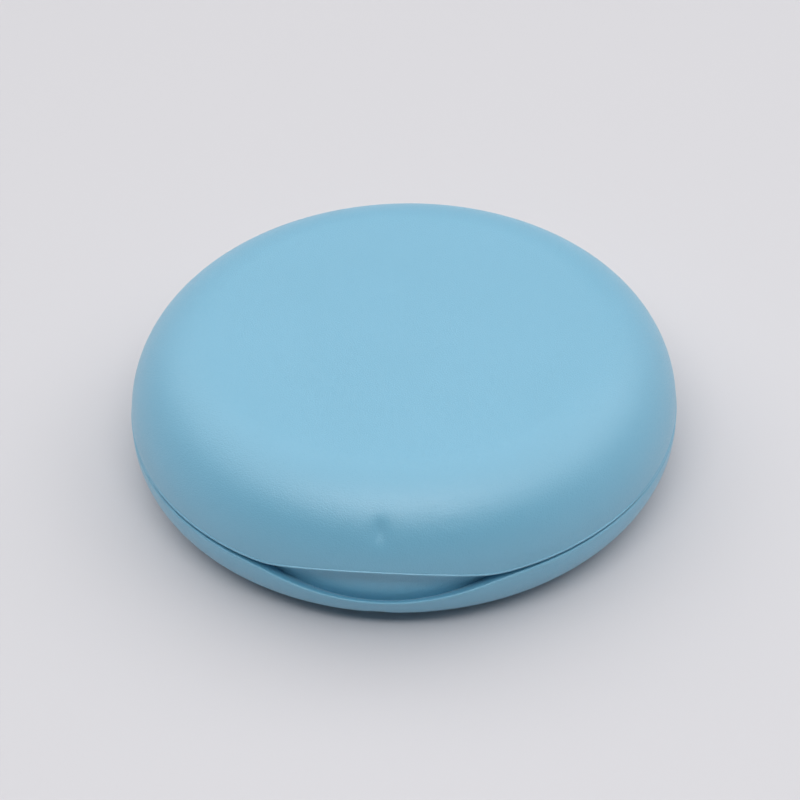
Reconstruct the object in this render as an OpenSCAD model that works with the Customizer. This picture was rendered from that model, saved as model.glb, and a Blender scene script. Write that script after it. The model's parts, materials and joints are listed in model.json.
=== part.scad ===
// Round retainer case: a shallow base and a domed lid, hinged at the back on two short pins,
// with a finger notch and a snap hook at the front. Sizes are in millimetres and degrees.
// The origin is the centre of the foot, +Z is up, the notch faces -Y and the hinge +Y.

/* [Outline] */
// Outside diameter of both shells at the seam
case_d = 90; // [80:1:110]
// Radius of the base's rounded lower corner
base_corner_r = 9.2; // [8:0.1:12]
// Upright band of the base, between that corner and the seam
base_upright = 1; // [0.9:0.1:6]
// Radius of the lid's rounded shoulder
lid_corner_r = 13.7; // [11:0.1:18]
// Upright band of the lid, between the seam and that shoulder
lid_upright = 0.6; // [0.5:0.1:6]
// Open seam between the base and the closed lid
seam = 0.3; // [0.2:0.05:0.5]
// Rounding of the base's edge at the seam
base_edge_r = 0.7; // [0.2:0.1:0.8]
// Rounding of the lid's edge at the seam
lid_edge_r = 0.35; // [0.1:0.05:0.4]

/* [Walls] */
// Wall of both shells
wall = 2; // [1.6:0.1:2.4]
// Radius of the corner inside the base, where its wall meets its floor
bowl_corner_r = 6; // [4:0.1:8]
// Width of the ring that the base stands on
foot_w = 5; // [3:0.5:8]
// How far the underside is drawn in within that ring
foot_recess = 0.5; // [0.3:0.1:1]

/* [Rim joint] */
// Wall of the lid's rim, where it passes outside the base's lip
lid_rim_t = 1.8; // [1.4:0.1:2]
// Thickness of the base's lip
lip_t = 1.3; // [1:0.1:1.8]
// Height of the lip above the seam
lip_h = 3.7; // [3.3:0.1:5]
// Rounding of the lip's upper edge
lip_edge_r = 0.3; // [0.1:0.05:0.5]
// Radial clearance between the lip and the lid's rim
lip_gap = 0.25; // [0.2:0.05:0.4]
// Clearance between the top of the lip and the ledge in the lid
seat_gap = 0.3; // [0.2:0.05:0.5]

/* [Finger notch] */
// Width of the notch along the seam
notch_w = 34; // [24:1:40]
// Rise of the lid's edge at the middle of the notch
lid_arch = 2.9; // [1.5:0.1:4]
// Drop of the base's edge at the middle of the notch
base_scoop = 2.7; // [1.5:0.1:4]

/* [Latch] */
// Width of the lid's snap hook
hook_w = 5; // [3:0.5:8]
// Thickness of the hook's finger
hook_t = 1.4; // [1:0.1:2]
// How far the barb stands out from the finger
barb = 0.6; // [0.3:0.1:1]
// Height of the barb
barb_h = 1.8; // [1.4:0.1:2.4]
// Width of the catch inside the base
catch_w = 7; // [4:0.5:10]
// How far the catch stands out from the base's wall
catch_t = 0.65; // [0.4:0.05:1]
// Height of the catch
catch_h = 1.6; // [1.2:0.1:2]
// How far the top of the catch lies below the seam
catch_drop = 0.2; // [0:0.1:1]
// Clearance at which the flexed barb passes the catch
latch_gap = 0.08; // [0.05:0.01:0.15]
// Play between the catch and the barb below it
latch_play = 0.2; // [0.1:0.05:0.4]

/* [Hinge] */
// Distance of the hinge axis inside the outline
hinge_inset = 1.4; // [1.2:0.1:1.8]
// Diameter of the knuckles
knuckle_d = 4.6; // [4:0.1:5]
// Width of each of the base's two knuckles
base_knuckle_w = 5; // [4:0.5:6]
// Width of the lid's middle knuckle
lid_knuckle_w = 11.4; // [10:0.2:13]
// Side clearance between knuckles
knuckle_gap = 0.3; // [0.2:0.05:0.5]
// Radial clearance between a knuckle and the pocket that it turns in
pocket_gap = 0.3; // [0.2:0.05:0.5]
// Wall left between those pockets and the inside of the case
pocket_wall = 1.3; // [1:0.1:2]
// Diameter of the hinge pins
pin_d = 1.2; // [1:0.1:1.6]
// Length of each hinge pin
pin_len = 8.6; // [8:0.1:9.4]
// Chamfer on the ends of the pins
pin_chamfer = 0.2; // [0.1:0.05:0.3]
// How far the outer end of each pin lies inside the knuckle
pin_recess = 0.2; // [0.1:0.05:0.5]
// Radial clearance of the pin's tight seat in the base
pin_seat_gap = 0.01; // [0.01:0.01:0.03]
// Radial running clearance of the pin in the lid
pin_run_gap = 0.05; // [0.03:0.01:0.1]
// Free depth left beyond the inner end of the pin
pin_end_gap = 0.5; // [0.3:0.1:1]

/* [Hidden] */
$fn = 128;

plastic = [0.56, 0.76, 0.85];
steel = [0.76, 0.77, 0.78];
overrun = 1; // how far a cut runs past the face that it opens

case_r = case_d / 2;
base_h = base_corner_r + base_upright;
lid_z = base_h + seam;
lid_h = lid_upright + lid_corner_r;
case_h = lid_z + lid_h;

// Rim joint
lid_rim_r = case_r - lid_rim_t;
lip_r = lid_rim_r - lip_gap;
bowl_r = lip_r - lip_t;
lip_top = base_h + lip_h;
rabbet_h = lip_top + seat_gap - lid_z;
floor_z = foot_recess + wall;
foot_r = case_r - base_corner_r - foot_w;

// Hinge
axis_y = case_r - hinge_inset;
axis_z = base_h + seam / 2;
knuckle_r = knuckle_d / 2;
pocket_r = knuckle_r + pocket_gap;
hinge_block_y = axis_y - pocket_r - pocket_wall;
lip_end_y = hinge_block_y - seat_gap;
base_knuckle_x = lid_knuckle_w / 2 + knuckle_gap;
hinge_half_w = base_knuckle_x + base_knuckle_w;
pin_end_x = hinge_half_w - pin_recess;
pin_bore_x = pin_end_x - pin_len - pin_end_gap;

// Latch, at its place on the -Y side
catch_top = base_h - catch_drop;
catch_bottom = catch_top - catch_h;
catch_nose_r = bowl_r - catch_t;
catch_root_r = bowl_r + lip_t / 2;
barb_top = catch_bottom - latch_play;
hook_tip = barb_top - barb_h;
hook_out_r = catch_nose_r - latch_gap - barb;
hook_mid_r = hook_out_r - hook_t / 2;
// The finger ends at mid wall in the lid's shoulder
hook_root = lid_z + lid_upright
    + sqrt(pow(lid_corner_r - wall / 2, 2) - pow(hook_mid_r - case_r + lid_corner_r, 2));

// Finger notch: arcs through its two ends
function arc_r(chord, rise) = (chord * chord / 4 + rise * rise) / (2 * rise);
arch_r = arc_r(notch_w, lid_arch);
scoop_r = arc_r(notch_w, base_scoop);
notch_back = sqrt(pow(case_r - 2 * wall, 2) - pow(notch_w / 2, 2));

// Quarter of a disc, in the quadrant given by the signs
module quarter(r, sign_x, sign_y) {
    intersection() {
        circle(r);
        translate([min(0, sign_x * r), min(0, sign_y * r)])
            square(r);
    }
}

// Right half of a turned outline, from the axis out to w, with rounded outer corners
module half_outline(w, h, low_r, high_r) {
    translate([0, low_r])
        square([w, h - low_r - high_r]);
    if (low_r > 0) {
        square([w - low_r, low_r]);
        translate([w - low_r, low_r])
            quarter(low_r, 1, -1);
    }
    if (high_r > 0) {
        translate([0, h - high_r])
            square([w - high_r, high_r]);
        translate([w - high_r, h - high_r])
            quarter(high_r, 1, 1);
    }
}

// Solid turned about +Z, standing at height z
module turned(z, w, h, low_r, high_r) {
    translate([0, 0, z])
        rotate_extrude()
            half_outline(w, h, low_r, high_r);
}

// Keeps what lies in front of the plane at y
module in_front_of(y) {
    intersection() {
        children();
        translate([-case_r, -case_r - overrun, -overrun])
            cube([case_d, case_r + overrun + y, case_h + 2 * overrun]);
    }
}

// Cylinder along the hinge axis, from x to x + w
module on_hinge_axis(x, w, r) {
    translate([x, axis_y, axis_z])
        rotate([0, 90, 0])
            cylinder(r = r, h = w);
}

// Lying cylinder that cuts the front of a rim along an arc, with its axis at height z
module front_cut(z, r) {
    translate([0, -notch_back, z])
        rotate([90, 0, 0])
            cylinder(r = r, h = case_r + overrun - notch_back);
}

// Side view in y and z, spread to width w about the middle of the case
module across(w) {
    translate([-w / 2, 0, 0])
        rotate([90, 0, 90])
            linear_extrude(w)
                children();
}

module lip() {
    in_front_of(lip_end_y)
        turned(base_h / 2, lip_r, lip_top - base_h / 2, 0, lip_edge_r);
}

module bowl() {
    in_front_of(hinge_block_y)
        turned(floor_z, bowl_r, case_h, bowl_corner_r, 0);
}

module scoop() {
    difference() {
        front_cut(base_h - base_scoop + scoop_r, scoop_r);
        cylinder(r = lip_r, h = case_h);
    }
}

module foot_hollow() {
    translate([0, 0, -overrun])
        cylinder(r = foot_r, h = overrun + foot_recess);
}

// Ridge inside the front of the base that the barb clicks under, rooted at the middle of the lip
module catch() {
    across(catch_w)
        polygon([
            [-catch_root_r, catch_top],
            [-catch_nose_r, catch_bottom + catch_h / 2],
            [-catch_nose_r, catch_bottom],
            [-catch_root_r, catch_bottom]
        ]);
}

// The pocket's rear edge is where the wide-open lid's back wall lands
module base_shell() {
    color(plastic)
        difference() {
            union() {
                difference() {
                    union() {
                        turned(0, case_r, base_h, base_corner_r, base_edge_r);
                        lip();
                    }
                    bowl();
                    scoop();
                    foot_hollow();
                    on_hinge_axis(-base_knuckle_x, 2 * base_knuckle_x, pocket_r);
                }
                catch();
                for (x = [-hinge_half_w, base_knuckle_x])
                    on_hinge_axis(x, base_knuckle_w, knuckle_r);
            }
            for (x = [-hinge_half_w - overrun, base_knuckle_x - overrun])
                on_hinge_axis(x, base_knuckle_w + 2 * overrun, pin_d / 2 + pin_seat_gap);
        }
}

module lid_hollow() {
    in_front_of(hinge_block_y) {
        union() {
            turned(lid_z - overrun, case_r - wall, lid_h - wall + overrun, 0, lid_corner_r - wall);
            turned(lid_z - overrun, lid_rim_r, rabbet_h + overrun, 0, 0);
        }
    }
}

// Springy finger moulded under the lid's shoulder, drawn flexed back just clear of the catch
module hook() {
    across(hook_w)
        polygon([
            [-hook_out_r + hook_t, hook_root],
            [-hook_out_r, hook_root],
            [-hook_out_r, barb_top],
            [-hook_out_r - barb, barb_top],
            [-hook_out_r - barb, barb_top - barb_h / 3],
            [-hook_out_r, hook_tip],
            [-hook_out_r + hook_t, hook_tip]
        ]);
}

module lid_shell() {
    color(plastic)
        difference() {
            union() {
                difference() {
                    turned(lid_z, case_r, lid_h, lid_edge_r, lid_corner_r);
                    lid_hollow();
                    front_cut(lid_z + lid_arch - arch_r, arch_r);
                    for (x = [-hinge_half_w - knuckle_gap, base_knuckle_x - knuckle_gap])
                        on_hinge_axis(x, base_knuckle_w + 2 * knuckle_gap, pocket_r);
                }
                hook();
                on_hinge_axis(-lid_knuckle_w / 2, lid_knuckle_w, knuckle_r);
            }
            for (x = [-base_knuckle_x, pin_bore_x])
                on_hinge_axis(x, base_knuckle_x - pin_bore_x, pin_d / 2 + pin_run_gap);
        }
}

// Short steel pin with chamfered ends, from x to x + pin_len
module hinge_pin(x) {
    color(steel)
        translate([x, axis_y, axis_z])
            rotate([0, 90, 0])
                rotate_extrude()
                    polygon([
                        [0, 0],
                        [pin_d / 2 - pin_chamfer, 0],
                        [pin_d / 2, pin_chamfer],
                        [pin_d / 2, pin_len - pin_chamfer],
                        [pin_d / 2 - pin_chamfer, pin_len],
                        [0, pin_len]
                    ]);
}

module hinge_pin_left() {
    hinge_pin(-pin_end_x);
}

module hinge_pin_right() {
    hinge_pin(pin_end_x - pin_len);
}

base_shell();
lid_shell();
hinge_pin_left();
hinge_pin_right();
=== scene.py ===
# %% [markdown]
# # A round retainer case
# A case for a dental retainer is two shallow plastic shells that close like a clam, with a hinge behind
# and a notch for the thumb in front. The measured model gives every place and size. Here the two shells
# are modelled again with the soft edges of a moulded part, and get their finish. All lengths are in
# metres.

# %% The frame
import json
import math

import bmesh
import bpy
from mathutils import Matrix, Vector


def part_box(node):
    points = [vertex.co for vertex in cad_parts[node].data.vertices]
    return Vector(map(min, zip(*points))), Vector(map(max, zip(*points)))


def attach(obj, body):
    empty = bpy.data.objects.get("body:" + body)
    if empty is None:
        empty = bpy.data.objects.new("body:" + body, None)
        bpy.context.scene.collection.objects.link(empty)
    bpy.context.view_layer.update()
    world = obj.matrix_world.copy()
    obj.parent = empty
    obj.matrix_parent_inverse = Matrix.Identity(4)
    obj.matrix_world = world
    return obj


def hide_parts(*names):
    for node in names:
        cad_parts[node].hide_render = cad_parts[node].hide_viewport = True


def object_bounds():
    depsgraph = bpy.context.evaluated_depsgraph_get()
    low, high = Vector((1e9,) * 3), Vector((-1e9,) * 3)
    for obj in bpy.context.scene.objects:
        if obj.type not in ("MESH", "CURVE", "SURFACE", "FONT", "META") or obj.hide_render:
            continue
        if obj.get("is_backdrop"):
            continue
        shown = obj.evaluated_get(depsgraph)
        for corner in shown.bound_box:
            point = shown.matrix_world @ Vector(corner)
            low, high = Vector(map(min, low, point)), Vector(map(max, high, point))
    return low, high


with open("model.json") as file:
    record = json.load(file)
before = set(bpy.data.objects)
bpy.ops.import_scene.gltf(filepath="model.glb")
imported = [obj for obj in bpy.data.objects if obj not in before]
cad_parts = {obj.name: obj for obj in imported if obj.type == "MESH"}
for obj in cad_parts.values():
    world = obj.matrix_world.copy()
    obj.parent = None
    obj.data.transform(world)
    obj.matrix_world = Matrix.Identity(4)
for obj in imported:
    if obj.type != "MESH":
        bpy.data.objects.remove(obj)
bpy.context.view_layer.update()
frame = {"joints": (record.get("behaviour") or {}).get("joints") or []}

MM = 0.001

# %% [markdown]
# ## Sizes
# What the frame already knows is read from it: the outline, the heights, the hinge's axis and the
# thickness of its knuckles. Only the sizes that no box shows, such as walls and roundings, are written
# here. Taking the rest from the frame keeps the dressed shells on the measured ones if the model
# changes.

# %% Sizes of the two shells
base_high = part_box("base_shell")[1]
lid_low, lid_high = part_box("lid_shell")
hinge = Vector(frame["joints"][0]["pos_m"])

seam = 0.3 * MM
box_margin = 0.001 * MM
case_r = base_high.x - box_margin
base_rim_z = hinge.z - seam / 2
lid_rim_z = hinge.z + seam / 2
base_corner_r = 9.2 * MM
lid_corner_r = 13.7 * MM
shoulder_z = lid_high.z - lid_corner_r
wall = 2 * MM
lid_rim_t = 1.8 * MM
lip_gap = 0.25 * MM
lip_t = 1.3 * MM
headroom = 0.3 * MM

lid_rim_r = case_r - lid_rim_t
lip_r = lid_rim_r - lip_gap
bowl_r = lip_r - lip_t
lip_top = base_high.z
floor_z = 2.5 * MM
ledge_z = lip_top + headroom
print(f"seam at {base_rim_z / MM:.1f} to {lid_rim_z / MM:.1f} mm, bowl {bowl_r / MM:.2f} mm in radius")

# %% [markdown]
# ## Drawing and turning
# Both shells are round, so each could be a stack of scaled discs or a lathe shape. A lathe shape is
# truer: half of the section is drawn as a wire with a few corners, a vertex bevel rounds them into
# exact arcs, and a spin turns the wire into a skin. The wire starts and ends on the axis, so the poles
# are welded afterwards.

# %% Helpers for a turned shell
TURN_STEPS = 480
WELD = 0.0001 * MM


def draw_wire(bm, corners):
    """Draws a wire through corners of r, z and, where one is rounded, its radius and segments."""
    verts = [bm.verts.new((corner[0], 0, corner[1])) for corner in corners]
    for first, second in zip(verts, verts[1:]):
        bm.edges.new((first, second))
    for vert, corner in zip(verts, corners):
        if len(corner) > 2:
            bmesh.ops.bevel(
                bm, geom=[vert], affect="VERTICES", offset=corner[2], offset_type="OFFSET",
                segments=corner[3], profile=0.5, material=-1, clamp_overlap=False,
            )
    return verts


def turn_wire(bm):
    """Turns the wire about the upright axis into a closed skin that faces outwards."""
    bmesh.ops.spin(
        bm, geom=bm.verts[:] + bm.edges[:], axis=(0, 0, 1), cent=(0, 0, 0),
        angle=2 * math.pi, steps=TURN_STEPS, use_merge=True,
    )
    bmesh.ops.remove_doubles(bm, verts=bm.verts[:], dist=WELD)
    bmesh.ops.recalc_face_normals(bm, faces=bm.faces[:])


print("one step of the spin covers", round(2 * math.pi * case_r / TURN_STEPS / MM, 2), "mm of the rim")

# %% [markdown]
# ## The base's section
# The base is a bowl with a broad rounded corner, a flat ring to stand on and an upright lip that the
# lid closes over. Going along the section from the floor inside, over the lip and round to the
# underside, keeps every corner a plain right angle, which the bevel turns into a clean quarter circle.

# %% Turn the base
base_edge_r = 0.3 * MM
lip_edge_r = 0.3 * MM
foot_edge_r = 0.15 * MM
foot_r = 30.8 * MM
foot_recess = 0.5 * MM
bowl_corner_r = 6 * MM
ledge_parts = (0.2, 0.4, 0.6, 0.8)
ledge_w = case_r - base_edge_r - lip_r

base_bm = bmesh.new()
draw_wire(base_bm, [
    (0, floor_z),
    (bowl_r, floor_z, bowl_corner_r, 14),
    (bowl_r, lip_top, lip_edge_r, 4),
    (lip_r, lip_top, lip_edge_r, 4),
    (lip_r, base_rim_z),
    *[(lip_r + ledge_w * part, base_rim_z) for part in ledge_parts],
    (case_r, base_rim_z, base_edge_r, 7),
    (case_r, 0, base_corner_r, 24),
    (foot_r, 0, foot_edge_r, 3),
    (foot_r, foot_recess, foot_edge_r, 3),
    (0, foot_recess),
])
turn_wire(base_bm)
print("base skin:", len(base_bm.verts), "vertices", len(base_bm.faces), "faces")

# %% [markdown]
# ## The lid's section
# The lid is a dome with a flat top. Its rim is stepped inside, and the step is the ledge that sits over
# the base's lip. The ledge cuts the inner arc short, so that arc is drawn whole first and then cut by a
# level plane. A fine bead along the lower edge is left by the mould, and catches the light.

# %% Turn the lid
lid_edge_r = 0.15 * MM
bead = 0.12 * MM
bead_h = 0.3 * MM
rim_inner_edge_r = 0.15 * MM
ledge_fall = 0.05 * MM

lid_bm = bmesh.new()
draw_wire(lid_bm, [
    (0, lid_high.z - wall),
    (case_r - wall, lid_high.z - wall, lid_corner_r - wall, 22),
    (case_r - wall, shoulder_z),
])
bmesh.ops.bisect_plane(
    lid_bm, geom=lid_bm.verts[:] + lid_bm.edges[:], plane_co=(0, 0, ledge_z), plane_no=(0, 0, 1),
    clear_inner=True,
)
ledge_end = min(lid_bm.verts, key=lambda vert: vert.co.z)
outer_wire = draw_wire(lid_bm, [
    (lid_rim_r, ledge_z - ledge_fall),
    (lid_rim_r, lid_rim_z, rim_inner_edge_r, 3),
    (case_r, lid_rim_z, lid_edge_r, 6),
    (case_r, lid_rim_z + bead_h),
    (case_r - bead, lid_rim_z + bead_h + bead),
    (case_r - bead, lid_high.z, lid_corner_r, 30),
    (0, lid_high.z),
])
lid_bm.edges.new((ledge_end, outer_wire[0]))
turn_wire(lid_bm)
print("lid skin:", len(lid_bm.verts), "vertices", len(lid_bm.faces), "faces")

# %% [markdown]
# ## The finger notch
# In front the lid's edge rises and the base's edge drops, each along an arc, so that a thumb gets in
# between. A Boolean would cut the notch with hard edges. Moving the rim's own vertices keeps the
# rounded edge all along it: each rim is raised or lowered, and the skin beside it is spread out to
# follow. Behind the scoop's edge the base is hollowed a little, and the lid's rim sits a hair high and
# askew, as a snapped lid does.

# %% Sizes of the notch
notch_w = 34 * MM
lid_arch = 2.5 * MM
arch_fade = 0.7 * MM
scoop_w = 36 * MM
base_scoop = 3.0 * MM
scoop_fade = 1.2 * MM
arch_fade_z = 17 * MM
scoop_fade_z = 4 * MM
trough = 1.2 * MM
lid_lift = 0.25 * MM
lid_skew = 0.15 * MM
on_lip = 0.01 * MM
print(f"notch {notch_w / MM:.0f} mm wide and {(lid_arch + base_scoop + seam) / MM:.1f} mm high")


# %% Helpers for the notch
def notch_cut(x, width, depth, fade):
    """How far the notch cuts into a rim at x: an arc that fades softly away at its two ends."""
    radius = (width ** 2 / 4 + depth ** 2) / (2 * depth)
    cut = depth - radius + math.sqrt(radius ** 2 - x ** 2)
    return (cut + math.hypot(cut, fade)) / 2


def share(value, start, end):
    """Rises in a straight line from 0 at start to 1 at end, and stays there."""
    return min(1, max(0, (value - start) / (end - start)))


def lid_skin_r(z):
    """Radius of the lid's outer skin at a height."""
    return case_r - lid_corner_r + math.sqrt(lid_corner_r ** 2 - max(0, z - shoulder_z) ** 2)


def base_skin_r(z):
    """Radius of the base's outer skin at a height."""
    return case_r - base_corner_r + math.sqrt(base_corner_r ** 2 - max(0, base_corner_r - z) ** 2)


def move_rim(vert, rise, widen):
    """Lifts a vertex and moves it out from the axis."""
    reach = math.hypot(vert.co.x, vert.co.y)
    vert.co.x *= (reach + widen) / reach
    vert.co.y *= (reach + widen) / reach
    vert.co.z += rise


# %% Raise the lid's rim
def raise_lid_rim(vert):
    """Lifts the rim along the arch, less and less with height, and lays it back on the dome."""
    reach = math.hypot(vert.co.x, vert.co.y)
    outside = reach > lid_rim_r + rim_inner_edge_r + on_lip
    top = arch_fade_z if outside else ledge_z - ledge_fall
    if reach < lid_rim_r - on_lip or vert.co.z > top:
        return
    edge = lid_edge_r if outside else rim_inner_edge_r
    rise = lid_lift - lid_skew * vert.co.x / case_r
    if vert.co.y < 0:
        rise += notch_cut(vert.co.x, notch_w, lid_arch, arch_fade)
    rise *= share(vert.co.z, top, lid_rim_z + edge)
    widen = lid_skin_r(vert.co.z + rise) - lid_skin_r(vert.co.z) if outside else 0
    move_rim(vert, rise, widen)


for vert in lid_bm.verts:
    raise_lid_rim(vert)
print("lid's rim lifted by", round(lid_lift / MM, 2), "mm and arched by", round(lid_arch / MM, 2), "mm")


# %% Lower the base's rim
def lower_base_rim(vert):
    """Sinks the rim along the scoop, more towards the lip, and lays it back on the bowl."""
    reach = math.hypot(vert.co.x, vert.co.y)
    if reach < lip_r - on_lip or vert.co.z < scoop_fade_z:
        return
    if reach < lip_r + on_lip:
        part = share(vert.co.z, lip_top - lip_edge_r, base_rim_z)
    else:
        part = share(vert.co.z, scoop_fade_z, base_rim_z - base_edge_r)
    cut = notch_cut(vert.co.x, scoop_w, base_scoop, scoop_fade)
    inward = 1 - share(reach, lip_r, case_r)
    drop = (cut + trough * inward ** 2 * share(cut, 0, base_scoop)) * part
    widen = base_skin_r(vert.co.z - drop) - base_skin_r(vert.co.z)
    move_rim(vert, -drop, widen * share(reach, lip_r, case_r))


front = [vert for vert in base_bm.verts if vert.co.y < 0]
for vert in front:
    lower_base_rim(vert)
print("base's rim lowered among", len(front), "vertices of its front half")

# %% [markdown]
# ## Marks of moulding
# Where the snap hook grows from the lid, the thick plastic shrinks as it cools and leaves a faint sink
# mark on the outside. The base has a small mark where the plastic was let into the mould. Both are
# shallow dents, made by pushing the skin in along its normals with a soft falloff.

# %% Press in the sink mark and the gate mark
DENT_REACH = 4


def press_dent(bm, middle, depth, half_w, half_h):
    """Pushes the outer skin in around a point, deepest in the middle."""
    bm.normal_update()
    for vert in bm.verts:
        away = vert.co - middle
        faces_out = vert.normal.dot(vert.co - Vector((0, 0, vert.co.z))) > 0
        if vert.co.y < 0 and faces_out and away.length < DENT_REACH * max(half_w, half_h):
            falloff = (away.x / half_w) ** 2 + (away.y ** 2 + away.z ** 2) / half_h ** 2
            vert.co -= vert.normal * depth * math.exp(-falloff)


def on_corner(corner_r, middle_z, tilt_deg, x):
    """Point on the front of a rounded corner, at a tilt above or below the level."""
    tilt = math.radians(tilt_deg)
    reach = case_r - corner_r + corner_r * math.cos(tilt)
    return Vector((x, -math.sqrt(reach ** 2 - x ** 2), middle_z + corner_r * math.sin(tilt)))


sink_mark = on_corner(lid_corner_r, shoulder_z, tilt_deg=37, x=0.5 * MM)
gate_mark = on_corner(base_corner_r, base_corner_r, tilt_deg=-48, x=-0.3 * MM)
press_dent(lid_bm, sink_mark, depth=0.45 * MM, half_w=1.1 * MM, half_h=1.8 * MM)
press_dent(base_bm, gate_mark, depth=0.35 * MM, half_w=1.1 * MM, half_h=1.3 * MM)
print("sink mark at", [round(c / MM, 1) for c in sink_mark])

# %% [markdown]
# ## Solid ground for the hinge
# At the back the hollow inside stops short, so that the hinge sits in solid plastic. A filler block
# would leave seams, so the inner walls themselves are pushed flat against an upright plane. They are
# told from the outer skin by their normals, which point towards the axis.

# %% Flatten the inner walls at the back
knuckle_r = base_high.y - hinge.y
pocket_gap = 0.3 * MM
pocket_r = knuckle_r + pocket_gap
block_wall = 1.3 * MM
hinge_block_y = hinge.y - pocket_r - block_wall

for bm, inner_r in ((base_bm, bowl_r), (lid_bm, lid_rim_r)):
    bm.normal_update()
    for vert in bm.verts:
        inner_wall = vert.normal.x * vert.co.x + vert.normal.y * vert.co.y < 0
        within = math.hypot(vert.co.x, vert.co.y) < inner_r + on_lip
        if inner_wall and within and vert.co.y > hinge_block_y:
            vert.co.y = hinge_block_y
print(f"hinge block starts at y = {hinge_block_y / MM:.1f} mm")

# %% [markdown]
# ## Joining and cutting
# The knuckles, the hook and the catch are moulded in one with their shells. A Boolean modifier joins
# them or cuts room for them, and is applied at once so that only finished meshes stay in the scene.

# %% Helpers for Booleans
def shell_object(name, bm):
    """Puts a bmesh into the scene as an object at the origin."""
    mesh = bpy.data.meshes.new(name)
    bm.to_mesh(mesh)
    bm.free()
    shell = bpy.data.objects.new(name, mesh)
    bpy.context.scene.collection.objects.link(shell)
    return shell


def combine(shell, tool_bm, operation):
    """Joins a shell with a tool, or cuts the tool out of it."""
    tool = shell_object("boolean_tool", tool_bm)
    step = shell.modifiers.new("step", "BOOLEAN")
    step.operation = operation
    step.solver = "EXACT"
    step.object = tool
    depsgraph = bpy.context.evaluated_depsgraph_get()
    shaped = bpy.data.meshes.new_from_object(shell.evaluated_get(depsgraph))
    shell.modifiers.clear()
    shell.data = shaped
    bpy.data.objects.remove(tool)
    print(operation.lower(), "left", shell.name, "with", len(shaped.polygons), "faces")


# %% Helpers for rods and bars
ROD_STEPS = 72


def round_edges(bm, edges, width, segments):
    """Rounds edges to quarter circles."""
    bmesh.ops.bevel(
        bm, geom=edges, affect="EDGES", offset=width, offset_type="OFFSET", segments=segments,
        profile=0.5, material=-1, clamp_overlap=True,
    )


def add_rod(bm, x_low, x_high, radius, end_r=0):
    """Adds a rod along the hinge's axis, with its end edges rounded."""
    middle = Matrix.Translation(((x_low + x_high) / 2, hinge.y, hinge.z))
    made = bmesh.ops.create_cone(
        bm, cap_ends=True, segments=ROD_STEPS, radius1=radius, radius2=radius, depth=x_high - x_low,
        matrix=middle @ Matrix.Rotation(math.pi / 2, 4, "Y"),
    )
    if end_r:
        rims = {edge for vert in made["verts"] for edge in vert.link_edges
                if any(len(face.verts) > 4 for face in edge.link_faces)}
        round_edges(bm, list(rims), end_r, segments=4)


def add_bar(bm, outline, width, edge_r):
    """Adds a bar across the front: an outline in y and z, spread to a width, with rounded edges."""
    verts = [bm.verts.new((-width / 2, y, z)) for y, z in outline]
    face = bm.faces.new(verts)
    spread = bmesh.ops.extrude_face_region(bm, geom=[face])
    moved = [item for item in spread["geom"] if isinstance(item, bmesh.types.BMVert)]
    bmesh.ops.translate(bm, vec=(width, 0, 0), verts=moved)
    bmesh.ops.recalc_face_normals(bm, faces=bm.faces[:])
    round_edges(bm, bm.edges[:], edge_r, segments=3)


print("rods have", ROD_STEPS, "sides")

# %% [markdown]
# ## The hinge and the latch
# The hinge is a barrel of three knuckles, two on the base and one on the lid, which turn in pockets cut
# into the other shell. In front a springy hook under the lid clicks below a small catch inside the
# base. All of it is worked out from the hinge's axis and the walls above.

# %% Sizes of the hinge and the latch
lid_knuckle_x = 5.7 * MM
side_gap = 0.3 * MM
base_knuckle_x = lid_knuckle_x + side_gap
base_knuckle_w = 5 * MM
hinge_half_w = base_knuckle_x + base_knuckle_w
knuckle_end_r = 0.35 * MM
pin_low, pin_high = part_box("hinge_pin_right")
pin_r = (pin_high.z - pin_low.z) / 2
pin_end_r = 0.2 * MM
tight_fit = 0.01 * MM
loose_fit = 0.05 * MM
bore_room = 0.5 * MM
bore_end_x = pin_low.x - bore_room
beyond = 1 * MM
proud = 0.02 * MM

catch_w = 7 * MM
catch_h = 1.6 * MM
catch_reach = 0.65 * MM
catch_drop = 0.2 * MM
catch_root_r = (bowl_r + lip_r) / 2
catch_nose_r = bowl_r - catch_reach
catch_top = base_rim_z - catch_drop
catch_bottom = catch_top - catch_h

hook_w = 5 * MM
hook_t = 1.4 * MM
hook_gap = 0.08 * MM
hook_root_drop = 4.2 * MM
barb = 0.6 * MM
barb_h = 0.6 * MM
barb_gap = 0.2 * MM
barb_top = catch_bottom - barb_gap
hook_out_r = catch_nose_r - hook_gap - barb
hook_root = lid_high.z - hook_root_drop
bar_edge_r = 0.12 * MM
print(f"pin {pin_r * 2 / MM:.2f} mm thick, hook tip at {lid_low.z / MM:.1f} mm")

# %% [markdown]
# ## The base's hinge and catch
# The middle knuckle of the lid turns in a pocket of the base, so the pocket is cut first. The lip is
# opened behind, the catch and the two outer knuckles are joined on, and the bores for the pins come
# last. Each knuckle stands a hair proud of its pocket, because two faces in one plane would leave
# slivers after a Boolean.

# %% Finish the base
base_shell = shell_object("base_moulding", base_bm)

cuts = bmesh.new()
add_rod(cuts, -base_knuckle_x - proud, base_knuckle_x + proud, pocket_r)
combine(base_shell, cuts, "DIFFERENCE")

lip_cut = bmesh.new()
lip_end_y = hinge_block_y - side_gap
cut_size = Vector((40 * MM, 10 * MM, 10 * MM))
cut_middle = (0, lip_end_y + cut_size.y / 2, base_rim_z + on_lip + cut_size.z / 2)
bmesh.ops.create_cube(
    lip_cut, size=1, matrix=Matrix.Translation(cut_middle) @ Matrix.Diagonal((*cut_size, 1)),
)
combine(base_shell, lip_cut, "DIFFERENCE")

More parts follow.
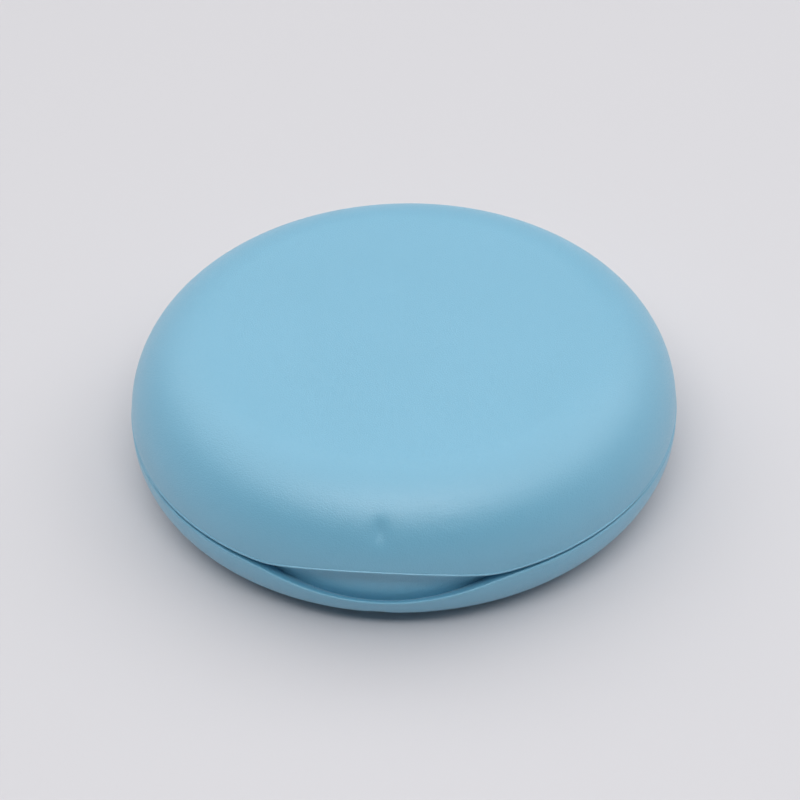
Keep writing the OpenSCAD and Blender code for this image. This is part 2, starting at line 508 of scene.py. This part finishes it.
joins = bmesh.new()
add_bar(joins, [
    (-catch_root_r, catch_top),
    (-catch_nose_r, (catch_top + catch_bottom) / 2),
    (-catch_nose_r, catch_bottom),
    (-catch_root_r, catch_bottom),
], catch_w, bar_edge_r)
for side in (-1, 1):
    ends = sorted((side * base_knuckle_x, side * hinge_half_w))
    add_rod(joins, *ends, knuckle_r, knuckle_end_r)
combine(base_shell, joins, "UNION")

bores = bmesh.new()
for side in (-1, 1):
    ends = sorted((side * (base_knuckle_x - beyond), side * (hinge_half_w + beyond)))
    add_rod(bores, *ends, pin_r + tight_fit)
combine(base_shell, bores, "DIFFERENCE")

# %% [markdown]
# ## The lid's hinge and hook
# The lid is finished in the same order with the roles swapped: two pockets, one knuckle between them
# and the snap hook in front. Its bores are wider than the base's, so that the pins sit tight in the
# base and the lid turns.

# %% Finish the lid
lid_shell = shell_object("lid_moulding", lid_bm)

pockets = bmesh.new()
for side in (-1, 1):
    ends = sorted((side * (lid_knuckle_x - proud), side * (hinge_half_w + side_gap)))
    add_rod(pockets, *ends, pocket_r)
combine(lid_shell, pockets, "DIFFERENCE")

joins = bmesh.new()
add_bar(joins, [
    (-hook_out_r + hook_t, hook_root),
    (-hook_out_r, hook_root),
    (-hook_out_r, barb_top),
    (-hook_out_r - barb, barb_top),
    (-hook_out_r - barb, barb_top - barb_h),
    (-hook_out_r, lid_low.z),
    (-hook_out_r + hook_t, lid_low.z),
], hook_w, bar_edge_r)
add_rod(joins, -lid_knuckle_x, lid_knuckle_x, knuckle_r, knuckle_end_r)
combine(lid_shell, joins, "UNION")

bores = bmesh.new()
for side in (-1, 1):
    ends = sorted((side * bore_end_x, side * (lid_knuckle_x + beyond)))
    add_rod(bores, *ends, pin_r + loose_fit)
combine(lid_shell, bores, "DIFFERENCE")

# %% [markdown]
# ## The pins
# Each hinge pin is a short length of drawn steel wire with its ends broken off smooth. A profile could
# be turned for it, but a plain rod with its two end edges bevelled gives the same shape.

# %% Make the pins
pins = {}
for node in ("hinge_pin_left", "hinge_pin_right"):
    low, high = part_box(node)
    pin_bm = bmesh.new()
    add_rod(pin_bm, low.x, high.x, pin_r, pin_end_r)
    bmesh.ops.recalc_face_normals(pin_bm, faces=pin_bm.faces[:])
    pins[node] = shell_object(node.replace("hinge_pin", "steel_pin"), pin_bm)
    print(node, "from", round(low.x / MM, 2), "to", round(high.x / MM, 2), "mm")

# %% [markdown]
# ## Edges that the hand polishes
# Handling rubs the grain off raised edges first. How sharply the skin turns at a vertex is measured
# once on the mesh and kept as an attribute, which the finish then reads. The attribute stays with the
# mesh when it moves. The Booleans leave slivers and many-sided faces, which are dissolved or cut into
# even triangles first.

# %% Shade the pieces and measure their edges
SHARP = math.radians(32)
SLIVER = 0.001 * MM
EDGE_GAIN = 6


def edge_turn(vert):
    """How far the skin falls away around a vertex, 0 on a flat and more on a raised edge."""
    ways = [(edge.other_vert(vert).co - vert.co).normalized() for edge in vert.link_edges]
    falls = [-way.dot(vert.normal) for way in ways]
    return max(0, sum(falls) / max(1, len(falls)))


def finish_mesh(piece):
    """Clears slivers, keeps each vertex's turn as an attribute and sets smooth shading."""
    bm = bmesh.new()
    bm.from_mesh(piece.data)
    bmesh.ops.dissolve_degenerate(bm, dist=SLIVER, edges=bm.edges[:])
    many_sided = [face for face in bm.faces if len(face.verts) > 4]
    bmesh.ops.triangulate(bm, faces=many_sided, quad_method="BEAUTY", ngon_method="BEAUTY")
    bmesh.ops.dissolve_degenerate(bm, dist=SLIVER, edges=bm.edges[:])
    bm.normal_update()
    layer = bm.verts.layers.float.new("edge_turn")
    for vert in bm.verts:
        vert[layer] = min(1, edge_turn(vert) * EDGE_GAIN)
    bm.to_mesh(piece.data)
    bm.free()
    piece.data.shade_smooth()
    piece.data.set_sharp_from_angle(angle=SHARP)
    weighted = piece.modifiers.new("even_shading", "WEIGHTED_NORMAL")
    weighted.keep_sharp = True
    print(piece.name, len(piece.data.vertices), "vertices")


for piece in (base_shell, lid_shell, *pins.values()):
    finish_mesh(piece)

# %% [markdown]
# ## Two effects that the finishes share
# A mould that was spark-eroded leaves a fine even grain on the plastic, and wire drawing leaves fine
# lines on the steel. Both are the same noise at another size and stretch, so it is a node group. A
# second group turns the measured edges into a broken mask of wear. Groups hold only patterns. The
# shader itself stays in the material.

# %% Helpers for nodes
def new_group(name, inputs, outputs):
    """Starts a node group with named inputs and number outputs."""
    group = bpy.data.node_groups.new(name, "ShaderNodeTree")
    for label, kind in inputs:
        group.interface.new_socket(label, in_out="INPUT", socket_type=kind)
    for label in outputs:
        group.interface.new_socket(label, in_out="OUTPUT", socket_type="NodeSocketFloat")
    return group, group.nodes.new("NodeGroupInput"), group.nodes.new("NodeGroupOutput")


def add_node(tree, kind, settings=None, **values):
    """Adds a node, sets its properties and the sockets that stay fixed."""
    node = tree.nodes.new(kind)
    for key, value in (settings or {}).items():
        setattr(node, key, value)
    for key, value in values.items():
        node.inputs[key.replace("_", " ")].default_value = value
    return node


# %% Node groups for grain and wear
VECTOR = "NodeSocketVector"
NUMBER = "NodeSocketFloat"
grain_group, given, result = new_group(
    "surface_grain", [("Position", VECTOR), ("Fineness", NUMBER)], ["Height", "Tone"],
)
fine = add_node(grain_group, "ShaderNodeTexNoise", Detail=2.0, Roughness=0.55)
broad = add_node(grain_group, "ShaderNodeTexNoise", Scale=45.0, Detail=2.0)
grain_group.links.new(given.outputs["Position"], fine.inputs["Vector"])
grain_group.links.new(given.outputs["Fineness"], fine.inputs["Scale"])
grain_group.links.new(given.outputs["Position"], broad.inputs["Vector"])
grain_group.links.new(fine.outputs["Fac"], result.inputs["Height"])
grain_group.links.new(broad.outputs["Fac"], result.inputs["Tone"])

wear_group, given, result = new_group("edge_wear", [("Position", VECTOR), ("Edge", NUMBER)], ["Wear"])
patches = add_node(wear_group, "ShaderNodeTexNoise", Scale=320.0, Detail=3.0)
broken = add_node(wear_group, "ShaderNodeMapRange", From_Min=0.35, From_Max=0.65)
worn = add_node(wear_group, "ShaderNodeMath", {"operation": "MULTIPLY"})
wear_group.links.new(given.outputs["Position"], patches.inputs["Vector"])
wear_group.links.new(patches.outputs["Fac"], broken.inputs["Value"])
wear_group.links.new(broken.outputs["Result"], worn.inputs[0])
wear_group.links.new(given.outputs["Edge"], worn.inputs[1])
wear_group.links.new(worn.outputs["Value"], result.inputs["Wear"])
print("groups:", [group.name for group in bpy.data.node_groups])

# %% [markdown]
# ## Satin plastic and drawn steel
# The plastic is coloured right through, so its colour barely varies, and its look comes from the grain:
# many tiny bumps that spread the light into a soft veil and glint where the light is strongest. A
# little sheen stands for the faint bloom of a moulded skin. The steel is the same recipe with a metal
# shader and lines stretched along the pin.

# %% The recipe of a finish
# Sockets of a Mix node for colours: its two inputs and its result
MIX_FIRST = 6
MIX_SECOND = 7
MIX_RESULT = 2
WORN_SHIFT = -0.1


def finish_material(name, deep, light, stretch, fineness, bump_m, rough, metal, gloss, bloom):
    """Builds a finish: two close tones, grain that also roughens, and edges that handling has smoothed."""
    material = bpy.data.materials.new(name)
    material.use_nodes = True
    tree = material.node_tree
    shader = tree.nodes["Principled BSDF"]
    shader.inputs["Metallic"].default_value = metal
    shader.inputs["IOR"].default_value = 1.6
    shader.inputs["Specular IOR Level"].default_value = gloss
    shader.inputs["Sheen Weight"].default_value = bloom
    shader.inputs["Sheen Roughness"].default_value = 0.5
    place = add_node(tree, "ShaderNodeTexCoord")
    mapping = add_node(tree, "ShaderNodeMapping", Scale=stretch)
    edge = add_node(tree, "ShaderNodeAttribute", {"attribute_name": "edge_turn"})
    grain = add_node(tree, "ShaderNodeGroup", {"node_tree": grain_group}, Fineness=fineness)
    wear = add_node(tree, "ShaderNodeGroup", {"node_tree": wear_group})
    tone = add_node(tree, "ShaderNodeMix", {"data_type": "RGBA"})
    tone.inputs[MIX_FIRST].default_value = (*deep, 1)
    tone.inputs[MIX_SECOND].default_value = (*light, 1)
    dull = add_node(
        tree, "ShaderNodeMapRange", From_Min=0.3, From_Max=0.7, To_Min=rough[0], To_Max=rough[1],
    )
    smooth = add_node(tree, "ShaderNodeMath", {"operation": "MULTIPLY_ADD"})
    smooth.inputs[1].default_value = WORN_SHIFT
    bump = add_node(tree, "ShaderNodeBump", Strength=1.0, Distance=bump_m)
    for source, target in (
        (place.outputs["Object"], mapping.inputs["Vector"]),
        (mapping.outputs["Vector"], grain.inputs["Position"]),
        (mapping.outputs["Vector"], wear.inputs["Position"]),
        (edge.outputs["Fac"], wear.inputs["Edge"]),
        (grain.outputs["Tone"], tone.inputs["Factor"]),
        (tone.outputs[MIX_RESULT], shader.inputs["Base Color"]),
        (grain.outputs["Height"], dull.inputs["Value"]),
        (wear.outputs["Wear"], smooth.inputs[0]),
        (dull.outputs["Result"], smooth.inputs[2]),
        (smooth.outputs["Value"], shader.inputs["Roughness"]),
        (grain.outputs["Height"], bump.inputs["Height"]),
        (bump.outputs["Normal"], shader.inputs["Normal"]),
    ):
        tree.links.new(source, target)
    return material


# %% The two finishes
plastic = finish_material(
    "satin_blue_plastic", deep=(0.110, 0.362, 0.520), light=(0.124, 0.385, 0.553), stretch=(1, 1, 1),
    fineness=4600, bump_m=0.06 * MM, rough=(0.34, 0.56), metal=0, gloss=1.0, bloom=0.15,
)
steel = finish_material(
    "drawn_pin_steel", deep=(0.50, 0.51, 0.52), light=(0.58, 0.59, 0.60), stretch=(0.05, 1, 1),
    fineness=9000, bump_m=0.004 * MM, rough=(0.25, 0.40), metal=1, gloss=0.5, bloom=0,
)
print("finishes:", plastic.name, steel.name)

# %% [markdown]
# ## What moves with what
# The base stays put with both pins in it, and the lid turns. Each dressed piece rides on its body and
# stands for its measured solid, so the case moves just as the measured one does.

# %% Put the pieces on their bodies
for piece, node, body, slot, finish in (
    (base_shell, "base_shell", "base", "blue_plastic", plastic),
    (lid_shell, "lid_shell", "lid", "blue_plastic", plastic),
    (pins["hinge_pin_left"], "hinge_pin_left", "base", "pin_steel", steel),
    (pins["hinge_pin_right"], "hinge_pin_right", "base", "pin_steel", steel),
):
    piece.data.materials.clear()
    piece.data.materials.append(finish)
    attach(piece, body)
    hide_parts(node)
    print(piece.name, "rides on", body)

# %% [markdown]
# ## Floor
# The case stands on a plain pale floor. A floor that simply ends shows its edge in a low view, so this
# one fades into a glow of the backdrop's colour away from the case. Near the case it is plain paint and
# takes the shadow.

# %% Floor
FLOOR_HALF = 4
FLOOR_COLOUR = (0.596, 0.589, 0.612, 1)
FADE_START = 0.2
FADE_END = 0.7
BACKDROP = (0.69, 0.68, 0.705, 1)

floor_bm = bmesh.new()
bmesh.ops.create_grid(floor_bm, x_segments=8, y_segments=8, size=FLOOR_HALF)
floor = shell_object("floor", floor_bm)
floor_paint = bpy.data.materials.new("pale_floor")
floor_paint.use_nodes = True
floor_tree = floor_paint.node_tree
floor_shader = floor_tree.nodes["Principled BSDF"]
floor_shader.inputs["Base Color"].default_value = FLOOR_COLOUR
floor_shader.inputs["Roughness"].default_value = 0.9
floor_shader.inputs["Specular IOR Level"].default_value = 0.1
spot = add_node(floor_tree, "ShaderNodeTexCoord")
reach = add_node(floor_tree, "ShaderNodeVectorMath", {"operation": "LENGTH"})
far = add_node(
    floor_tree, "ShaderNodeMapRange", {"interpolation_type": "SMOOTHSTEP"},
    From_Min=FADE_START, From_Max=FADE_END,
)
glow = add_node(floor_tree, "ShaderNodeEmission", Color=BACKDROP)
blend = add_node(floor_tree, "ShaderNodeMixShader")
for source, target in (
    (spot.outputs["Object"], reach.inputs[0]),
    (reach.outputs["Value"], far.inputs["Value"]),
    (far.outputs["Result"], blend.inputs["Fac"]),
    (floor_shader.outputs["BSDF"], blend.inputs[1]),
    (glow.outputs["Emission"], blend.inputs[2]),
    (blend.outputs["Shader"], floor_tree.nodes["Material Output"].inputs["Surface"]),
):
    floor_tree.links.new(source, target)
floor.data.materials.append(floor_paint)
floor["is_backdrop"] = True
print("floor fades from", FADE_START, "to", FADE_END, "m away from the case")

# %% [markdown]
# ## Backdrop
# The room is a pale band along the horizon below a dim sky, which is darker above the front. A curved
# sheet could stand behind the case, but a world whose strength changes with height looks the same from
# every side.

# %% Backdrop
SKY_SHARE = 0.16
FRONT_SHARE = 0.2

world = bpy.data.worlds.new("studio")
world.use_nodes = True
bpy.context.scene.world = world
tree = world.node_tree
backdrop = tree.nodes["Background"]
backdrop.inputs["Color"].default_value = BACKDROP
direction = add_node(tree, "ShaderNodeTexCoord")
axes = add_node(tree, "ShaderNodeSeparateXYZ")
dim = add_node(
    tree, "ShaderNodeMapRange",
    From_Min=-0.4, From_Max=0.4, To_Min=SKY_SHARE * FRONT_SHARE, To_Max=SKY_SHARE,
)
fade = add_node(tree, "ShaderNodeMapRange", From_Min=0.12, From_Max=0.25)
level = add_node(tree, "ShaderNodeMix", {"data_type": "FLOAT"})
# Inputs 2 and 3 of this Mix node are its two numbers, and output 0 is the result
level.inputs[2].default_value = 1
for source, target in (
    (direction.outputs["Generated"], axes.inputs["Vector"]),
    (axes.outputs["Y"], dim.inputs["Value"]),
    (axes.outputs["Z"], fade.inputs["Value"]),
    (fade.outputs["Result"], level.inputs["Factor"]),
    (dim.outputs["Result"], level.inputs[3]),
    (level.outputs[0], backdrop.inputs["Strength"]),
):
    tree.links.new(source, target)
print("sky has", SKY_SHARE, "of the backdrop's strength above the back and less above the front")

# %% [markdown]
# ## Softboxes
# A large box overhead gives most of the light. A narrow one in front draws the soft highlight along the
# front edge of the lid, and weak ones at the sides and the back fill in. A lamp could be given in
# watts. Here it is given by its radiance, which is what a mirror would show, so that a box keeps its
# brightness when its size changes.

# %% Softboxes
LAMP_DISTANCE = 0.75


def direction_from(azimuth, elevation):
    """Direction from the case, with azimuth 0 in front and the angles in degrees."""
    turn = math.radians(azimuth)
    lift = math.radians(elevation)
    return Vector((math.sin(turn) * math.cos(lift), -math.cos(turn) * math.cos(lift), math.sin(lift)))


def add_softbox(name, azimuth, elevation, width, depth, radiance):
    """Hangs a softbox that faces the case, bright enough to show the given radiance."""
    lamp = bpy.data.lights.new(name, "AREA")
    lamp.shape = "RECTANGLE"
    lamp.size = width
    lamp.size_y = depth
    lamp.energy = radiance * math.pi * width * depth
    place = direction_from(azimuth, elevation)
    holder = bpy.data.objects.new(name, lamp)
    holder.location = place * LAMP_DISTANCE
    holder.rotation_euler = place.to_track_quat("Z", "Y").to_euler()
    bpy.context.scene.collection.objects.link(holder)
    print(name, "power", round(lamp.energy, 2), "W")


for name, azimuth, elevation, width, depth, radiance in (
    ("overhead_softbox", 180, 79, 2.40, 1.40, 1.12),
    ("front_softbox", 0, 61, 0.70, 0.16, 5.70),
    ("left_softbox", -100, 35, 0.90, 0.60, 0.25),
    ("right_softbox", 100, 35, 0.90, 0.60, 0.50),
    ("back_softbox", 180, 40, 1.60, 0.50, 0.42),
):
    add_softbox(name, azimuth, elevation, width, depth, radiance)

# %% [markdown]
# ## Camera
# The camera looks down at the front of the case from a little to its right, from far enough to keep the
# ellipse of the lid nearly even. Its place was fitted to the outline, the seam and the notch.

# %% Camera
IMAGE_W = 800
camera_data = bpy.data.cameras.new("camera")
camera_data.sensor_width = 36
camera_data.lens = 99
camera_data.shift_x = -3.68 / IMAGE_W
camera_data.shift_y = -2.39 / IMAGE_W
camera = bpy.data.objects.new("camera", camera_data)
bpy.context.scene.collection.objects.link(camera)
bpy.context.scene.camera = camera

aim = Vector((0, 0, hinge.z))
camera_distance = 365.2 * MM
back = direction_from(6.2, 39.87)
roll = math.radians(-1.637)
camera.location = aim + back * camera_distance
camera.rotation_mode = "QUATERNION"
camera.rotation_quaternion = back.to_track_quat("Z", "Y") @ Matrix.Rotation(roll, 3, "Z").to_quaternion()
print("camera at", [round(c, 3) for c in camera.location])

# %% [markdown]
# ## Colour and size
# Colours are shown as they are written, without a film look. The box of the dressed case is printed in
# millimetres.

# %% Colour and size
bpy.context.scene.view_settings.view_transform = "Standard"
low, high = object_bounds()
print("visual box in mm:", [round(c / MM, 2) for c in (*low, *high)])
